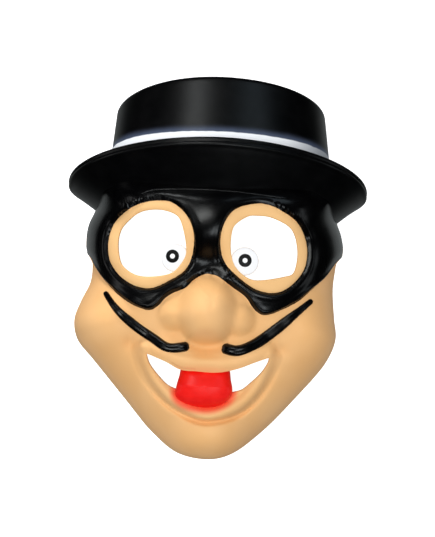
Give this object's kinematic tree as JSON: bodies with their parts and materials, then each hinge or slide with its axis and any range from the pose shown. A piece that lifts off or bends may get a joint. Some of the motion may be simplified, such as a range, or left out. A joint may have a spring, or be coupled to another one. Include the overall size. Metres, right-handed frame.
{
  "type": "bandit mask",
  "caption": "Hollow moulded foam face mask of a grinning bandit with a black domino, thin moustache, tongue and flat-topped brimmed hat.",
  "frame": {"origin": "middle of the mask's length and width, on the plane of its open rim, which lies on the surface", "axes": "+X to the viewer's right, +Y from the chin to the top of the hat, +Z out of the face"},
  "size_m": [0.25, 0.3182, 0.13],
  "materials": {
    "foam": "satin paint on moulded foam, flesh with black, white and red areas"
  },
  "bodies": {
    "root": {"mask": "foam"}
  },
  "joints": []
}
